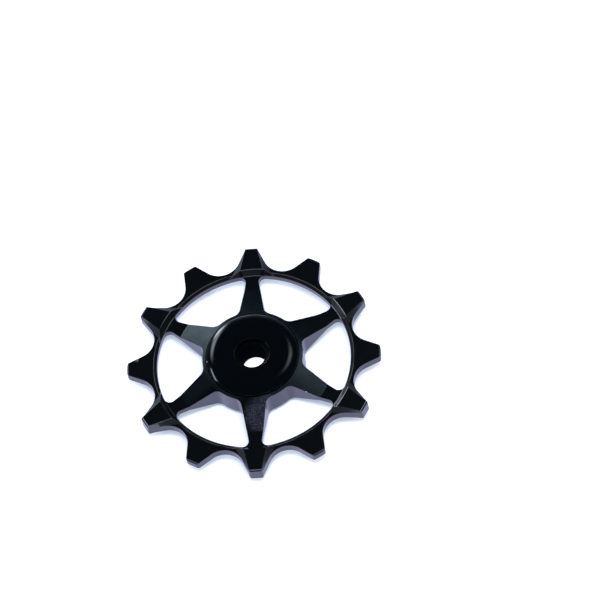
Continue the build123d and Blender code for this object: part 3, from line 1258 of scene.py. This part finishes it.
@dataclass(frozen=True)
class Studio:
    """A pale table under soft light, in a room that polished surfaces see as dark.

    Lengths are in metres. Round the axle, where the lower cover stands, polished surfaces see the table in
    painted shade and the camera sees it painted white; past the teeth, painted light lifts its shade. A lamp
    of its own gives it the soft shade under the wheel.
    """

    table_colour: Colour = (0.72, 0.73, 1.0)
    table_dimmed: Colour = (0.32, 0.324, 0.444)
    # Painted shade: the table's colour to polished surfaces under the lower cover.
    table_under: Colour = (0.03, 0.06, 0.11)
    table_shown: Colour = (0.22, 0.28, 0.25)
    # Painted light: a brighter glow to the camera past the teeth, which lifts the table lamp's shade there.
    table_around: Colour = (0.45, 0.48, 0.38)
    table_mirrored: Colour = (0.50, 0.54, 0.86)
    table_half: float = 1.5
    table_gap: float = 0.002 * MM
    shade_start: float = 0.0055
    shade_end: float = 0.0095
    around_start: float = 0.0215
    around_end: float = 0.026
    room_light: Colour = (0.80, 0.80, 0.80)
    room_mirrored: Colour = (0.014, 0.025, 0.035)
    low_mirrored: Colour = (0.15, 0.18, 0.21)
    low_end: float = 0.55
    softboxes: tuple[Softbox, ...] = (
        Softbox("key_low", 121.0, 14.0, 14.0, 24.0, 5.0, lean=30.0, soft=0.35),
        Softbox("key_high", 129.0, 34.0, 21.0, 37.0, 2.1, lean=30.0, soft=0.4),
        Softbox("left_strip", 172.0, 36.5, 18.0, 6.0, 3.0),
        Softbox("left_glow", 181.0, 10.0, 12.0, 10.0, 0.45, colour=(0.90, 0.95, 1.25)),
        Softbox("right_high", 57.0, 60.0, 26.0, 28.0, 0.9, soft=0.5),
        Softbox("front_fill", 280.0, 24.0, 90.0, 28.0, 0.3, soft=0.5, colour=(0.85, 0.95, 1.25)),
    )
    table_lamp: Softbox = Softbox("table_lamp", 298.0, 76.0, 22.0, 14.0, 22.0, colour=WHITE)

    def build(self) -> None:
        """Sets up the table, the room's light and the lamps, one of which lights the table alone."""
        lit = bpy.data.collections.new("lit_by_table_lamp")
        lit.objects.link(self._table())
        self.table_lamp.place().light_linking.receiver_collection = lit
        self._room()
        for softbox in self.softboxes:
            softbox.place()

    def _table(self) -> Object:
        """A plain table under the lower cover, which the camera sees brighter than polished surfaces do.

        Returns:
            The linked table.
        """
        half, level = self.table_half, CAD_BOX[0].z - self.table_gap
        corners = [(-half, -half, level), (half, -half, level), (half, half, level), (-half, half, level)]
        mesh = bpy.data.meshes.new("table")
        mesh.from_pydata(corners, [], [range(len(corners))])
        table = linked("table", mesh)
        material = bpy.data.materials.new("pale_table")
        graph = nodes_of(material)
        seen = graph.add("ShaderNodeLightPath").outputs
        place = graph.add("ShaderNodeTexCoord").outputs["Object"]
        reach = graph.vector("LENGTH", place)["Value"]
        open_air = graph.ease(reach, self.shade_start, self.shade_end)
        # Past the teeth the camera's glow is brighter: painted light over the shade there.
        around = graph.ease(reach, self.around_start, self.around_end)
        # Under the lower cover, polished surfaces see the table darker and without glow: painted shade.
        dimmed = graph.blend(open_air, self.table_under, self.table_dimmed)
        mirrored = graph.blend(open_air, BLACK, self.table_mirrored)
        # The camera sees the table under the lower cover as plain white: painted light where the cover shades
        # it.
        shown = graph.blend(open_air, WHITE, graph.blend(around, self.table_shown, self.table_around))
        solid_shader(graph, {
            "Base Color": graph.blend(seen["Is Camera Ray"], dimmed, self.table_colour),
            "Roughness": 1.0, "Specular IOR Level": 0.0,
            "Emission Color": graph.blend(seen["Is Camera Ray"], mirrored, shown),
            "Emission Strength": graph.math("MAXIMUM", seen["Is Camera Ray"], seen["Is Glossy Ray"]),
        })
        material.cycles.emission_sampling = "NONE"
        mesh.materials.append(material)
        return table

    def _room(self) -> None:
        """Even light from all round, white to the camera and dark to polished surfaces but for a low glow."""
        world = bpy.data.worlds.new("room")
        bpy.context.scene.world = world
        graph = nodes_of(world)
        seen = graph.add("ShaderNodeLightPath").outputs
        way = graph.add("ShaderNodeSeparateXYZ", {0: graph.add("ShaderNodeTexCoord").outputs["Generated"]})
        height = graph.ease(way.outputs["Z"], 0.0, self.low_end)
        mirrored = graph.blend(height, self.low_mirrored, self.room_mirrored)
        light = graph.blend(seen["Is Glossy Ray"], self.room_light, mirrored)
        light = graph.blend(seen["Is Camera Ray"], light, WHITE)
        background = graph.add("ShaderNodeBackground", {"Color": light})
        graph.add("ShaderNodeOutputWorld", {"Surface": background.outputs[0]})
        world.cycles.sampling_method = "NONE"


@dataclass(frozen=True)
class PhotoCamera:
    """A long lens above the table: angles in degrees, lengths in metres and the object's origin in pixels."""

    azimuth: float = -79.9035
    elevation: float = 59.7852
    roll: float = 13.0549
    distance: float = 1.1113
    pixels_per_metre: float = 5039.41
    frame_pixels: int = 600
    origin_pixel: tuple[float, float] = (254.078, 362.251)
    sensor_mm: float = 36.0
    clip: tuple[float, float] = (0.01, 5.0)

    def place(self) -> Object:
        """Places the camera so that the object's origin falls on its pixel.

        Returns:
            The linked camera, made the scene's own.
        """
        turn = facing(self.azimuth, self.elevation, self.roll)
        lens_pixels = self.pixels_per_metre * self.distance
        aside, below = ((pixel - self.frame_pixels / 2) / lens_pixels for pixel in self.origin_pixel)
        spot = self.distance * (turn @ Vector((-aside, below, 1.0)))
        data = bpy.data.cameras.new("photo_camera")
        data.sensor_width = self.sensor_mm
        data.lens = lens_pixels / self.frame_pixels * self.sensor_mm
        data.clip_start, data.clip_end = self.clip
        camera = linked("photo_camera", data)
        camera.matrix_world = Matrix.Translation(spot) @ turn.to_4x4()
        bpy.context.scene.camera = camera
        return camera


def main() -> None:
    """Builds and dresses every piece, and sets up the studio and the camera."""
    logging.basicConfig(level=logging.INFO, format="%(name)s: %(message)s")
    SharedEffects().build()
    materials = {slot: finish.material() for slot, finish in FINISHES.items()}
    wheel = ToothedWheel([finish.material() for finish in CUT_FINISHES.values()])
    for part in (wheel, Cover(Side.UPPER), Cover(Side.LOWER), CentreBush()):
        piece = part.build()
        part.dress(piece, materials)
        LOG.info("%s: %d faces", piece.name, len(piece.data.polygons))
    for name in Bearing().dress(materials):
        LOG.info("%s: dressed", name)
    Studio().build()
    PhotoCamera().place()
    bpy.context.scene.view_settings.view_transform = "Standard"


if __name__ == "__main__":
    main()
